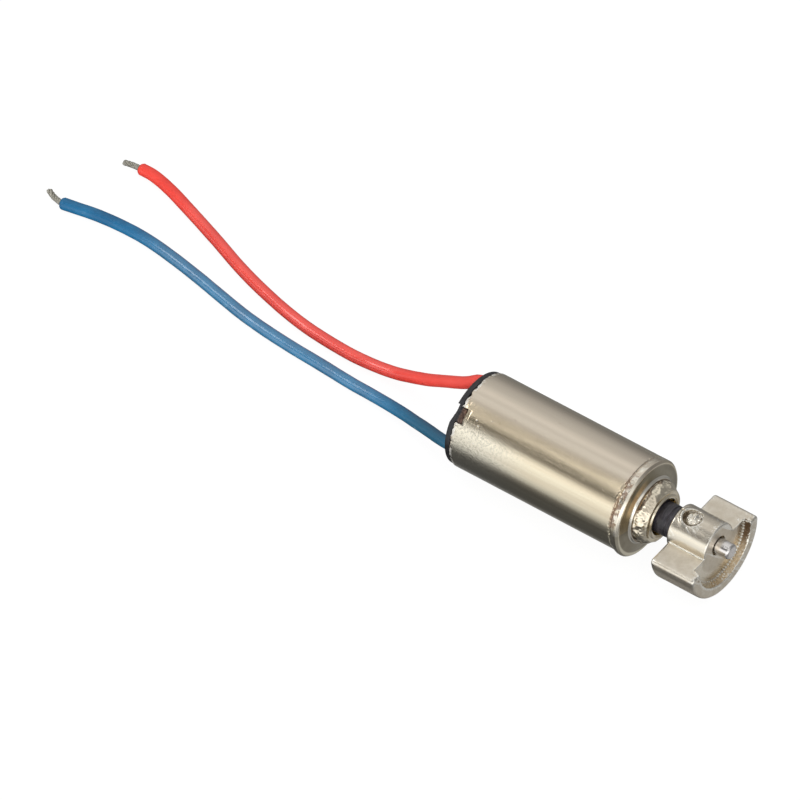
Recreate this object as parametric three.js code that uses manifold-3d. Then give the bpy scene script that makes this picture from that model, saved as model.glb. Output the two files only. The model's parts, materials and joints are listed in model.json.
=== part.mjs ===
// Cylindrical vibration motor, 6 mm can, with an eccentric weight and two flying leads.
// Millimetres, +Z up. +X runs along the shaft and out of the front. The weight, a little larger than
// the can, touches Z = 0, and the origin is under the middle of the motor without its leads.
//
// Inside is a coreless motor: a fixed tube magnet on a bearing sleeve, with a cup winding turning
// round it. Positions along the shaft ("along") are measured from the flat front face of the can.

import * as THREE from 'three';
import { mergeVertices } from 'three/addons/utils/BufferGeometryUtils.js';
import Module from 'manifold-3d';

const wasm = await Module();
wasm.setup();

// ---- Driving dimensions ----

const CAN_RADIUS = 3.0; // the motor's size: a 6 mm can
const CAN_LENGTH = 12.15; // rear rim to flat front face
const CAN_WALL = 0.3;
const FACE_RADIUS = 2.74; // the flat front face, inside the rounded shoulder
const NECK_HEIGHT = 1.1; // bearing boss, drawn out of the front face
const NECK_RADIUS = 1.84;
const LIP_HOLE_RADIUS = 1.17;

const CAP_OVERHANG = 0.38; // how far the end cap stands out of the can
const CAP_RADIUS = 2.93;
const CAP_DEPTH = 1.13; // thickness of the cap's floor
const CAP_RIM_DEPTH = 1.85; // depth to the edge of the cap's inner rim

const SHAFT_RADIUS = 0.5;
const SHAFT_REAR = -10.9;
const SHAFT_TIP = 5.9;
const SHAFT_CHAMFER = 0.1;
const BORE_RADIUS = 0.515; // bores fixed on the shaft
const BEARING_BORE_RADIUS = 0.54; // bores that the shaft turns in

const SLEEVE_RADIUS = 1.38; // tube that carries the magnet outside and the bearings inside
const SLEEVE_WALL = 0.36;
const SLEEVE_REAR = -8.0;
const SLEEVE_FRONT = 0.3;
const BEARING_LENGTH = 1.3;
const MAGNET_RADIUS = 2.0;
const MAGNET_REAR = -7.8;
const MAGNET_FRONT = -0.9;
const COIL_RADIUS = 2.5;
const COIL_WALL = 0.35;
const COIL_REAR = -8.55;
const COIL_FRONT = -0.65;
const PLATE_THICKNESS = 0.4;

const COMMUTATOR_RADIUS = 0.76;
const COMMUTATOR_REAR = -10.2;
const COMMUTATOR_FRONT = -9.15;
const SEGMENT_COUNT = 3;
const SEGMENT_GAP = 14; // degrees between neighbouring commutator segments

const WASHER_RADIUS = 0.96;
const SPACER_RADIUS = 1.0;
const SPACER_REAR = 0.46;
const HUB_RADIUS = 1.41;
const HUB_REAR = 2.2;
const HUB_FRONT = 4.93; // also the floor of the weight's front recess
const WEIGHT_RADIUS = 3.2;
const WEIGHT_REAR = 2.35;
const WEIGHT_FRONT = 5.42;
const WEIGHT_TOP = 0.03; // flat upper side of the half disc, above the shaft's axis
const WEIGHT_CORNER = 0.28;
const RECESS_RADIUS = 2.5;
const COUNTERBORE_RADIUS = 0.62;
const COUNTERBORE_DEPTH = 0.4;
const STAKE_RADIUS = 0.58; // staking mark that locks the weight on the shaft
const STAKE_ALONG = 3.18;
const STAKE_DEPTH = 0.25;
const STAKE_CLOCK = 92.5; // degrees from +Y, with the rotor upright

const CLOCK = 44; // degrees from +Y to the line through both lead exits
const LEAD_OFFSET = 2.08; // from the axis to a lead exit
const LEAD_RADIUS = 0.375; // insulation of a fine stranded lead
const LEAD_HOLE_RADIUS = 0.43;
const LEAD_GRIP = 0.5; // how deep the insulation sits in the cap
const CORE_RADIUS = 0.17; // stranded and tinned conductor
const CORE_HOLE_RADIUS = 0.23;
const LEAD_SIDES = 8;
const LEAD_STEPS = 44;
const TAIL_STEPS = 4;

const KEY_WIDTH = 0.86; // key of the cap in the notch of the can's rear rim
const NOTCH_WIDTH = 0.94;
const NOTCH_DEPTH = 0.45;
const THUMB_NOTCH_DEPTH = 0.3; // notch in the cap's outer edge, behind the key
const THUMB_NOTCH_RADIUS = 2.5;
const TERMINAL_THICKNESS = 0.15;
const BRUSH_THICKNESS = 0.08;

const GAP = 0.02; // between pieces that touch
const PAST = 1; // how far a cutting solid runs past the surface it cuts
const CAN_SEGMENTS = 24;
const ROUND_SEGMENTS = 24;

// ---- Derived places ----

const TOTAL_LENGTH = CAP_OVERHANG + CAN_LENGTH + SHAFT_TIP;
const FACE_X = CAP_OVERHANG + CAN_LENGTH - TOTAL_LENGTH / 2;
const CAN_REAR = -CAN_LENGTH;
const CAP_REAR = CAN_REAR - CAP_OVERHANG;
const CAP_FLOOR = CAP_REAR + CAP_DEPTH;
const CAN_BORE = CAN_RADIUS - CAN_WALL;
const TERMINAL_REAR = CAP_FLOOR + GAP;
const TERMINAL_FRONT = TERMINAL_REAR + TERMINAL_THICKNESS;
const CLOCK_ANGLE = THREE.MathUtils.degToRad(CLOCK);

// The two rounded corners of the half disc: how far out their centres are, and how far below the
// horizontal they end the rim's arc.
const CORNER_REACH = Math.sqrt((WEIGHT_RADIUS - WEIGHT_CORNER) ** 2 - (WEIGHT_TOP - WEIGHT_CORNER) ** 2);
const CORNER_LEAN = Math.atan2(WEIGHT_CORNER - WEIGHT_TOP, CORNER_REACH);

// The rim has an even number of facets, so the rotor is turned by half of one to rest on a flat.
const REST_TURN = (Math.PI / 2 - CORNER_LEAN) / ROUND_SEGMENTS;
const AXIS_HEIGHT = WEIGHT_RADIUS * Math.cos(REST_TURN);

// Lead routes in the part's own frame: straight out of the cap, down to the surface and back along it.
const RED_ROUTE = [
  [-9.3, 1.5, 4.64], [-9.69, 1.5, 4.59], [-10.05, 1.5, 4.44], [-10.3, 1.51, 4.25],
  [-10.7, 1.53, 3.91], [-11.15, 1.57, 3.58], [-11.75, 1.63, 3.21], [-12.4, 1.71, 2.82],
  [-13.05, 1.84, 2.38], [-14.05, 2.02, 1.73], [-14.83, 2.11, 1.33], [-15.59, 2.16, 1.0],
  [-16.38, 2.16, 0.75], [-17.3, 2.13, 0.58], [-18.28, 2.1, 0.475], [-19.58, 2.09, 0.41],
  [-21.54, 2.2, 0.385], [-23.53, 2.44, 0.385], [-26.23, 3.07, 0.385], [-28.95, 3.94, 0.385],
  [-31.68, 5.03, 0.385], [-34.41, 6.07, 0.385], [-36.44, 6.78, 0.385], [-37.76, 7.09, 0.385],
  [-38.72, 7.11, 0.385],
];
const BLUE_ROUTE = [
  [-9.5, -1.5, 1.76], [-10.2, -1.38, 1.64], [-10.97, -1.13, 1.4], [-11.76, -0.86, 1.18],
  [-12.53, -0.63, 1.0], [-13.29, -0.43, 0.84], [-14.0, -0.25, 0.72], [-15.4, -0.02, 0.56],
  [-16.76, 0.12, 0.46], [-18.33, 0.22, 0.4], [-20.7, 0.41, 0.385], [-22.66, 0.53, 0.385],
  [-24.64, 0.72, 0.385], [-26.64, 1.01, 0.385], [-28.64, 1.45, 0.385], [-30.67, 1.91, 0.385],
  [-32.69, 2.31, 0.385], [-34.7, 2.6, 0.385], [-36.65, 2.65, 0.385], [-38.54, 2.48, 0.385],
  [-39.74, 2.25, 0.385], [-40.69, 2.07, 0.385],
];
const RED_TAIL = [[-38.75, 7.11, 0.385], [-39.32, 7.05, 0.39], [-39.83, 6.9, 0.42]];
const BLUE_TAIL = [[-40.72, 2.07, 0.385], [-41.33, 2.21, 0.39], [-41.93, 2.48, 0.42]];

// ---- Materials ----

function finish(color, roughness, metalness) {
  return new THREE.MeshStandardMaterial({ color, roughness, metalness });
}

const NICKEL = finish(0xc9c0b2, 0.32, 1.0);
const TUNGSTEN = finish(0xa79d90, 0.42, 1.0);
const STEEL = finish(0xd4d2d8, 0.15, 1.0);
const BRONZE = finish(0xa8753f, 0.55, 0.9);
const BRASS = finish(0xc9a552, 0.3, 1.0);
const GOLD_ALLOY = finish(0xd8bf7a, 0.25, 1.0);
const COPPER = finish(0xa8562c, 0.4, 0.8);
const MAGNET = finish(0x55555a, 0.45, 0.8);
const BLACK_PLASTIC = finish(0x1e1d1f, 0.5, 0.0);
const CREAM_PLASTIC = finish(0xd9cfae, 0.55, 0.0);
const SOLDER = finish(0xb9bbbd, 0.3, 1.0);
const TINNED = finish(0x9a978d, 0.4, 0.9);
const RED_PVC = finish(0xeb463c, 0.35, 0.0);
const BLUE_PVC = finish(0x326ea0, 0.35, 0.0);

// ---- Geometry helpers ----

// Merges shared corners and drops the empty triangles left where a surface meets its axis.
function closed(geometry) {
  geometry.deleteAttribute('normal');
  geometry.deleteAttribute('uv');
  const merged = mergeVertices(geometry, 1e-5);
  const corners = merged.index.array;
  const kept = [];
  for (let i = 0; i < corners.length; i += 3) {
    const [a, b, c] = [corners[i], corners[i + 1], corners[i + 2]];
    if (a !== b && b !== c && c !== a) {
      kept.push(a, b, c);
    }
  }
  merged.setIndex(kept);
  return merged;
}

function solid(geometry) {
  const body = closed(geometry);
  return new wasm.Manifold(new wasm.Mesh({
    numProp: 3,
    vertProperties: new Float32Array(body.attributes.position.array),
    triVerts: new Uint32Array(body.index.array),
  }));
}

function geometryOf(body) {
  const mesh = body.getMesh();
  const geometry = new THREE.BufferGeometry();
  geometry.setAttribute('position', new THREE.BufferAttribute(mesh.vertProperties, 3));
  geometry.setIndex(new THREE.BufferAttribute(mesh.triVerts, 1));
  geometry.computeVertexNormals();
  return geometry;
}

// Turns a profile of [along, radius] points about X. The profile runs forward along the outside, and
// back along the bore or the axis.
function turned(profile, segments = ROUND_SEGMENTS) {
  const points = profile.map(([along, radius]) => new THREE.Vector2(radius, along));
  const geometry = new THREE.LatheGeometry(points, segments);
  geometry.rotateZ(-Math.PI / 2);
  return closed(geometry);
}

function tube(rear, front, outer, inner, segments = ROUND_SEGMENTS) {
  const profile = [[rear, inner], [rear, outer], [front, outer], [front, inner], [rear, inner]];
  return turned(profile, segments);
}

function rod(rear, front, radius, segments = ROUND_SEGMENTS) {
  return turned([[rear, 0], [rear, radius], [front, radius], [front, 0]], segments);
}

// An outline in the Y-Z plane, given thickness along X.
function plateAcross(shape, rear, front) {
  const geometry = new THREE.ExtrudeGeometry(shape, {
    depth: front - rear, bevelEnabled: false, curveSegments: ROUND_SEGMENTS / 2,
  });
  geometry.rotateY(Math.PI / 2);
  geometry.rotateX(Math.PI / 2);
  geometry.translate(rear, 0, 0);
  return closed(geometry);
}

// An outline in the X-Z plane, given thickness along Y.
function plateAlong(shape, low, high) {
  const geometry = new THREE.ExtrudeGeometry(shape, { depth: high - low, bevelEnabled: false });
  geometry.rotateX(Math.PI / 2);
  geometry.translate(0, high, 0);
  return closed(geometry);
}

function block(size, centre) {
  const geometry = new THREE.BoxGeometry(...size);
  geometry.translate(...centre);
  return geometry;
}

function outline(points) {
  return new THREE.Shape(points.map(([x, y]) => new THREE.Vector2(x, y)));
}

function circle(radius, sides = 16) {
  const points = [];
  for (let i = 0; i < sides; i += 1) {
    const angle = (i * 2 * Math.PI) / sides;
    points.push([radius * Math.cos(angle), radius * Math.sin(angle)]);
  }
  return outline(points);
}

// A round tube of constant section along a smooth curve through the points.
function cordAlong(points, radius, steps) {
  const path = new THREE.CatmullRomCurve3(points.map((point) => new THREE.Vector3(...point)));
  const section = circle(radius, LEAD_SIDES);
  return closed(new THREE.ExtrudeGeometry(section, { steps, extrudePath: path, bevelEnabled: false }));
}

function mesh(name, geometry, material) {
  const piece = new THREE.Mesh(geometry, material);
  piece.name = name;
  return piece;
}

// ---- Can and front end ----

function canProfile() {
  const bore = SLEEVE_RADIUS + GAP;
  return [
    [CAN_REAR, CAN_BORE],
    [CAN_REAR, CAN_RADIUS],
    [-0.3, CAN_RADIUS],
    [-0.1, CAN_RADIUS - 0.08],
    [0, FACE_RADIUS],
    [0, NECK_RADIUS + 0.22],
    [0.12, NECK_RADIUS + 0.07],
    [0.5, NECK_RADIUS],
    [NECK_HEIGHT - 0.25, NECK_RADIUS - 0.12],
    [NECK_HEIGHT - 0.07, NECK_RADIUS - 0.28],
    [NECK_HEIGHT, NECK_RADIUS - 0.44],
    [NECK_HEIGHT - 0.03, LIP_HOLE_RADIUS + 0.05],
    [NECK_HEIGHT - 0.12, LIP_HOLE_RADIUS],
    [NECK_HEIGHT - 0.24, LIP_HOLE_RADIUS],
    [NECK_HEIGHT - 0.24, bore],
    [-CAN_WALL, bore],
    [-CAN_WALL, CAN_BORE],
    [CAN_REAR, CAN_BORE],
  ];
}

// The can's facets are turned so that one faces straight down, and set so that the can measures 6 mm
// across them.
function can() {
  const geometry = turned(canProfile(), CAN_SEGMENTS);
  const acrossFlats = 1 / Math.cos(Math.PI / CAN_SEGMENTS);
  geometry.rotateX(Math.PI / CAN_SEGMENTS);
  geometry.scale(1, acrossFlats, acrossFlats);
  const notch = block([2 * NOTCH_DEPTH, NOTCH_WIDTH, 1], [CAN_REAR, 0, CAN_RADIUS]);
  notch.rotateX(CLOCK_ANGLE);
  return mesh('can', geometryOf(solid(geometry).subtract(solid(notch))), NICKEL);
}

function bearingSleeve() {
  const inner = SLEEVE_RADIUS - SLEEVE_WALL;
  return mesh('bearing_sleeve', tube(SLEEVE_REAR, SLEEVE_FRONT, SLEEVE_RADIUS, inner), BRASS);
}

function bearing(name, rear) {
  const outer = SLEEVE_RADIUS - SLEEVE_WALL - GAP;
  return mesh(name, tube(rear, rear + BEARING_LENGTH, outer, BEARING_BORE_RADIUS), BRONZE);
}

function magnet() {
  return mesh('magnet', tube(MAGNET_REAR, MAGNET_FRONT, MAGNET_RADIUS, SLEEVE_RADIUS + GAP), MAGNET);
}

// ---- End cap with its terminals and brushes, built with both lead exits on the Y axis ----

function capBody() {
  const plug = CAN_BORE - GAP;
  const rimFront = CAP_REAR + CAP_RIM_DEPTH;
  const rimBore = plug - 0.32;
  return solid(turned([
    [CAP_REAR, 0],
    [CAP_REAR, CAP_RADIUS - 0.06],
    [CAP_REAR + 0.06, CAP_RADIUS],
    [CAN_REAR - GAP, CAP_RADIUS],
    [CAN_REAR - GAP, plug],
    [rimFront, plug],
    [rimFront, rimBore],
    [CAP_FLOOR, rimBore],
    [CAP_FLOOR, 0],
  ], 2 * ROUND_SEGMENTS));
}

function capKey() {
  const inner = CAN_BORE - 0.2;
  const height = CAP_RADIUS - inner;
  const length = NOTCH_DEPTH + 0.1;
  const centre = [CAN_REAR - 0.1 - GAP + length / 2, 0, inner + height / 2];
  return solid(block([length, KEY_WIDTH, height], centre));
}

function thumbNotch() {
  const size = [2 * THUMB_NOTCH_DEPTH, NOTCH_WIDTH + 0.15, 1];
  return solid(block(size, [CAP_REAR, 0, THUMB_NOTCH_RADIUS + size[2] / 2]));
}

function leadHole(side) {
  const stepAt = CAP_REAR + LEAD_GRIP + GAP;
  const wide = rod(CAP_REAR - PAST, stepAt, LEAD_HOLE_RADIUS, 16);
  const narrow = rod(CAP_REAR, CAP_FLOOR + PAST, CORE_HOLE_RADIUS, 12);
  const hole = solid(wide).add(solid(narrow));
  return hole.translate([0, side * LEAD_OFFSET, 0]);
}

function endCap() {
  let body = capBody().add(capKey()).subtract(thumbNotch());
  for (const side of [1, -1]) {
    body = body.subtract(leadHole(side));
  }
  return mesh('end_cap', geometryOf(body), BLACK_PLASTIC);
}

// A flat bent strip on the cap's floor, from the lead's conductor to the root of the brush.
function terminal(name) {
  const strip = outline([
    [1.8, 0.36], [2.34, 0.36], [2.34, -0.4], [1.55, -1.7],
    [0.72, -1.7], [0.72, -1.28], [1.28, -1.28], [1.8, -0.4],
  ]);
  const plate = solid(plateAcross(strip, TERMINAL_REAR, TERMINAL_FRONT));
  const hole = solid(rod(CAP_REAR, TERMINAL_FRONT + PAST, CORE_RADIUS + GAP, 12));
  return mesh(name, geometryOf(plate.subtract(hole.translate([0, LEAD_OFFSET, 0]))), GOLD_ALLOY);
}

// A leaf spring that stands on the terminal and lies against the side of the commutator.
function brush(name) {
  const root = TERMINAL_FRONT + GAP;
  const tip = COMMUTATOR_FRONT - 0.15;
  const finger = [COMMUTATOR_REAR + 0.15, COMMUTATOR_REAR + 0.5];
  const middle = [tip - 0.25, tip];
  const leaf = outline([
    [root, -1.66], [tip, -1.66], [tip, 0.34], [middle[0], 0.34], [middle[0], -0.9],
    [finger[1], -0.9], [finger[1], 0.34], [finger[0], 0.34], [finger[0], -1.3], [root, -1.3],
  ]);
  const low = COMMUTATOR_RADIUS + GAP;
  return mesh(name, plateAlong(leaf, low, low + BRUSH_THICKNESS), GOLD_ALLOY);
}

function solderJoint(name) {
  const base = TERMINAL_FRONT + GAP;
  const dome = [[base, 0], [base, 0.3], [base + 0.12, 0.27], [base + 0.24, 0.15], [base + 0.28, 0]];
  const geometry = turned(dome, 12);
  geometry.translate(0, LEAD_OFFSET, 0);
  return mesh(name, geometry, SOLDER);
}

// The conductor between the end of the insulation, in the cap, and the face of the terminal.
function innerCore(name) {
  const geometry = rod(CAP_REAR + LEAD_GRIP + 2 * GAP, TERMINAL_FRONT, CORE_RADIUS, 8);
  geometry.translate(0, LEAD_OFFSET, 0);
  return mesh(name, geometry, TINNED);
}

function contactSet(polarity, halfTurn) {
  const set = new THREE.Group();
  set.add(
    terminal(`terminal_${polarity}`),
    brush(`brush_${polarity}`),
    solderJoint(`solder_joint_${polarity}`),
    innerCore(`conductor_${polarity}_in_cap`),
  );
  set.rotation.x = halfTurn ? Math.PI : 0;
  return set;
}

// ---- Rotor ----

function shaft() {
  const narrow = SHAFT_RADIUS - SHAFT_CHAMFER;
  return mesh('shaft', turned([
    [SHAFT_REAR, 0],
    [SHAFT_REAR, narrow],
    [SHAFT_REAR + SHAFT_CHAMFER, SHAFT_RADIUS],
    [SHAFT_TIP - SHAFT_CHAMFER, SHAFT_RADIUS],
    [SHAFT_TIP, narrow],
    [SHAFT_TIP, 0],
  ], 16), STEEL);
}

function coil() {
  return mesh('coil', tube(COIL_REAR, COIL_FRONT, COIL_RADIUS, COIL_RADIUS - COIL_WALL, 32), COPPER);
}

function coilPlate() {
  const rear = COIL_REAR - GAP - PLATE_THICKNESS;
  const face = COIL_REAR - GAP;
  const bossFront = SLEEVE_REAR - 0.24;
  return mesh('coil_plate', turned([
    [rear, BORE_RADIUS],
    [rear, COIL_RADIUS],
    [face, COIL_RADIUS],
    [face, 0.85],
    [bossFront, 0.85],
    [bossFront, BORE_RADIUS],
    [rear, BORE_RADIUS],
  ]), CREAM_PLASTIC);
}

function commutatorHub() {
  const front = COIL_REAR - 2 * GAP - PLATE_THICKNESS;
  const core = COMMUTATOR_RADIUS - 0.14;
  return mesh('commutator_hub', turned([
    [COMMUTATOR_REAR - 0.1, BORE_RADIUS],
    [COMMUTATOR_REAR - 0.1, core],
    [COMMUTATOR_FRONT + GAP, core],
    [COMMUTATOR_FRONT + GAP, COMMUTATOR_RADIUS + 0.2],
    [front, COMMUTATOR_RADIUS + 0.2],
    [front, BORE_RADIUS],
    [COMMUTATOR_REAR - 0.1, BORE_RADIUS],
  ]), CREAM_PLASTIC);
}

function commutatorSegment(index) {
  const pitch = 360 / SEGMENT_COUNT;
  const start = THREE.MathUtils.degToRad(index * pitch + SEGMENT_GAP / 2);
  const end = THREE.MathUtils.degToRad((index + 1) * pitch - SEGMENT_GAP / 2);
  const arc = new THREE.Shape();
  arc.absarc(0, 0, COMMUTATOR_RADIUS, start, end, false);
  arc.absarc(0, 0, COMMUTATOR_RADIUS - 0.12, end, start, true);
  const geometry = plateAcross(arc, COMMUTATOR_REAR, COMMUTATOR_FRONT);
  return mesh(`commutator_segment_${index + 1}`, geometry, GOLD_ALLOY);
}

function rearThrustWasher() {
  const geometry = tube(SLEEVE_REAR - 0.2, SLEEVE_REAR - 0.05, WASHER_RADIUS, BORE_RADIUS);
  return mesh('rear_thrust_washer', geometry, CREAM_PLASTIC);
}

function frontThrustWasher() {
  const geometry = tube(SLEEVE_FRONT + 0.03, SPACER_REAR - GAP, WASHER_RADIUS, BORE_RADIUS);
  return mesh('front_thrust_washer', geometry, CREAM_PLASTIC);
}

function spacer() {
  const geometry = tube(SPACER_REAR, HUB_REAR - GAP, SPACER_RADIUS, BORE_RADIUS);
  return mesh('shaft_spacer', geometry, BLACK_PLASTIC);
}

// Lower part of a disc, cut flat at the top, with its two corners rounded.
function lowerDisc() {
  const middle = WEIGHT_TOP - WEIGHT_CORNER;
  const shape = new THREE.Shape();
  shape.absarc(0, 0, WEIGHT_RADIUS, -Math.PI + CORNER_LEAN, -CORNER_LEAN, false);
  shape.absarc(CORNER_REACH, middle, WEIGHT_CORNER, -CORNER_LEAN, Math.PI / 2, false);
  shape.absarc(-CORNER_REACH, middle, WEIGHT_CORNER, Math.PI / 2, Math.PI + CORNER_LEAN, false);
  return shape;
}

function stakingMark() {
  const geometry = new THREE.CylinderGeometry(STAKE_RADIUS, STAKE_RADIUS, PAST, ROUND_SEGMENTS);
  geometry.rotateX(Math.PI / 2);
  geometry.translate(STAKE_ALONG, 0, HUB_RADIUS - STAKE_DEPTH + PAST / 2);
  geometry.rotateX(THREE.MathUtils.degToRad(STAKE_CLOCK - 90));
  return geometry;
}

function eccentricWeight() {
  const wings = solid(plateAcross(lowerDisc(), WEIGHT_REAR, WEIGHT_FRONT));
  const hub = solid(rod(HUB_REAR, HUB_FRONT, HUB_RADIUS, 2 * ROUND_SEGMENTS));
  const cuts = [
    rod(HUB_FRONT, WEIGHT_FRONT + PAST, RECESS_RADIUS, 2 * ROUND_SEGMENTS),
    rod(HUB_REAR - PAST, HUB_FRONT + PAST, BORE_RADIUS, 16),
    rod(HUB_FRONT - COUNTERBORE_DEPTH, HUB_FRONT + PAST, COUNTERBORE_RADIUS, 16),
    stakingMark(),
  ];
  let body = wings.add(hub);
  for (const cut of cuts) {
    body = body.subtract(solid(cut));
  }
  return mesh('eccentric_weight', geometryOf(body), TUNGSTEN);
}

// ---- Leads, in the part's own frame ----

function lead(name, route, material) {
  const [, across, height] = route[0];
  const start = FACE_X + CAP_REAR + LEAD_GRIP;
  const straight = [[start, across, height], [FACE_X + CAP_REAR, across, height]];
  return mesh(name, cordAlong([...straight, ...route], LEAD_RADIUS, LEAD_STEPS), material);
}

function tail(name, route) {
  return mesh(name, cordAlong(route, CORE_RADIUS, TAIL_STEPS), TINNED);
}

// ---- Assembly ----

function stator() {
  const group = new THREE.Group();
  group.add(
    can(),
    bearingSleeve(),
    bearing('front_bearing', SLEEVE_FRONT - BEARING_LENGTH),
    bearing('rear_bearing', SLEEVE_REAR),
    magnet(),
  );
  const rearEnd = new THREE.Group();
  rearEnd.add(endCap(), contactSet('positive', false), contactSet('negative', true));
  rearEnd.rotation.x = CLOCK_ANGLE;
  group.add(rearEnd);
  return group;
}

function rotor() {
  const group = new THREE.Group();
  group.add(
    shaft(),
    coil(),
    coilPlate(),
    commutatorHub(),
    rearThrustWasher(),
    frontThrustWasher(),
    spacer(),
    eccentricWeight(),
  );
  for (let index = 0; index < SEGMENT_COUNT; index += 1) {
    group.add(commutatorSegment(index));
  }
  group.rotation.x = REST_TURN;
  return group;
}

function motor() {
  const group = new THREE.Group();
  group.add(stator(), rotor());
  group.position.set(FACE_X, 0, AXIS_HEIGHT);
  return group;
}

function leads() {
  const group = new THREE.Group();
  group.add(
    lead('lead_red', RED_ROUTE, RED_PVC),
    tail('lead_red_tinned_end', RED_TAIL),
    lead('lead_blue', BLUE_ROUTE, BLUE_PVC),
    tail('lead_blue_tinned_end', BLUE_TAIL),
  );
  return group;
}

const group = new THREE.Group();
group.add(motor(), leads());

export default group;
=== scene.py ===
import json
import math

import bmesh
import bpy
from mathutils import Matrix, Vector, noise


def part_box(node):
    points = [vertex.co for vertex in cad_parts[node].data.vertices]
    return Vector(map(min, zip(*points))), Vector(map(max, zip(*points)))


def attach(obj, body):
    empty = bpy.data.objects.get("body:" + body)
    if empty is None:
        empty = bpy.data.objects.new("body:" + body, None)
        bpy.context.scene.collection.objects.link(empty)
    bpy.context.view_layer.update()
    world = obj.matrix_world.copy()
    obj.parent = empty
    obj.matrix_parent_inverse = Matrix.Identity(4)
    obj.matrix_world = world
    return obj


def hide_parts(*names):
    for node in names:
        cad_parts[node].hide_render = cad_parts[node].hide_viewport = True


# Looks of a small cylindrical vibration motor: a drawn can, an eccentric weight and two flying leads.
# Pieces are shaped in "motor space": millimetres, X forward along the shaft from the can's flat front
# face, and the shaft's axis at Y = Z = 0. TO_FRAME then puts them in the frame, in metres.

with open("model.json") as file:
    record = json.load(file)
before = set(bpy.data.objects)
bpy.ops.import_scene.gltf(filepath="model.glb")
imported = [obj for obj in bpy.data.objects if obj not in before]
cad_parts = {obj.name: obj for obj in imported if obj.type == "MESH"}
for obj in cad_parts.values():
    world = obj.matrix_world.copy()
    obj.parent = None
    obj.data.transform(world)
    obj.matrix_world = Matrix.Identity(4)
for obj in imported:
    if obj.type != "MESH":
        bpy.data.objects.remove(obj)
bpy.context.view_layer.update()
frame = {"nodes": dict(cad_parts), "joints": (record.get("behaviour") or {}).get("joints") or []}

MM = 0.001
AXIS = Vector(frame["joints"][0]["pos_m"])
TO_FRAME = Matrix.Translation(AXIS) @ Matrix.Scale(MM, 4)


def span(node):
    """Where a CAD node begins and ends along the shaft, in motor space."""
    low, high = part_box(node)
    return (low.x - AXIS.x) / MM, (high.x - AXIS.x) / MM


def radius(node):
    """Half the height of a CAD node that is round about the shaft, in millimetres."""
    low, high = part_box(node)
    return (high.z - low.z) / 2 / MM


# ---- Shader nodes ----

class Value:
    """A number or a colour that shader nodes work out."""

    def __init__(self, nodes, socket):
        self.nodes = nodes
        self.socket = socket

    def math(self, operation, other=0.0):
        return self.nodes.add("ShaderNodeMath", {0: self, 1: other}, operation=operation)

    def __add__(self, other):
        return self.math("ADD", other)

    def __sub__(self, other):
        return self.math("SUBTRACT", other)

    def __mul__(self, other):
        """Of masks, the product is 1 only where both of them are."""
        return self.math("MULTIPLY", other)

    def __truediv__(self, other):
        return self.math("DIVIDE", other)

    def __pow__(self, other):
        return self.math("POWER", other)

    def span(self, low, high, to_low=0.0, to_high=1.0, kind="SMOOTHSTEP"):
        """The value from low..high, carried to to_low..to_high and held there outside."""
        inputs = {"Value": self, "From Min": low, "From Max": high, "To Min": to_low, "To Max": to_high}
        settings = {"interpolation_type": kind, "clamp": True}
        return self.nodes.add("ShaderNodeMapRange", inputs, "Result", **settings)

    def near(self, middle, half, soft):
        """1 where the value is within half of middle, falling to 0 over a further soft."""
        return (self - middle).math("ABSOLUTE").span(half, half + soft, 1, 0)

    def mix(self, low, high):
        """The colour low where the value is 0, and high where it is 1."""
        return self.nodes.add("ShaderNodeMix", {"Factor": self, 6: low, 7: high}, 2, data_type="RGBA")

    def blend(self, low, high):
        """The number low where the value is 0, and high where it is 1."""
        return self.nodes.add("ShaderNodeMix", {"Factor": self, 2: low, 3: high}, 0, data_type="FLOAT")


def largest(first, *others):
    """The largest value: of masks, it is 1 where any of them is."""
    for other in others:
        first = first.math("MAXIMUM", other)
    return first


class Nodes:
    """A tree of shader nodes, which grows as its values are worked out."""

    def __init__(self, tree):
        self.tree = tree

    def wire(self, value, socket):
        if isinstance(value, Value):
            self.tree.links.new(value.socket, socket)
        elif socket.type == "RGBA":
            socket.default_value = (*value, 1)
        else:
            socket.default_value = value

    def add(self, kind, inputs, output=0, **settings):
        """The value that comes out of a new node."""
        node = self.tree.nodes.new(kind)
        for name, value in settings.items():
            setattr(node, name, value)
        for socket, value in inputs.items():
            self.wire(value, node.inputs[socket])
        return Value(self, node.outputs[output])


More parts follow.
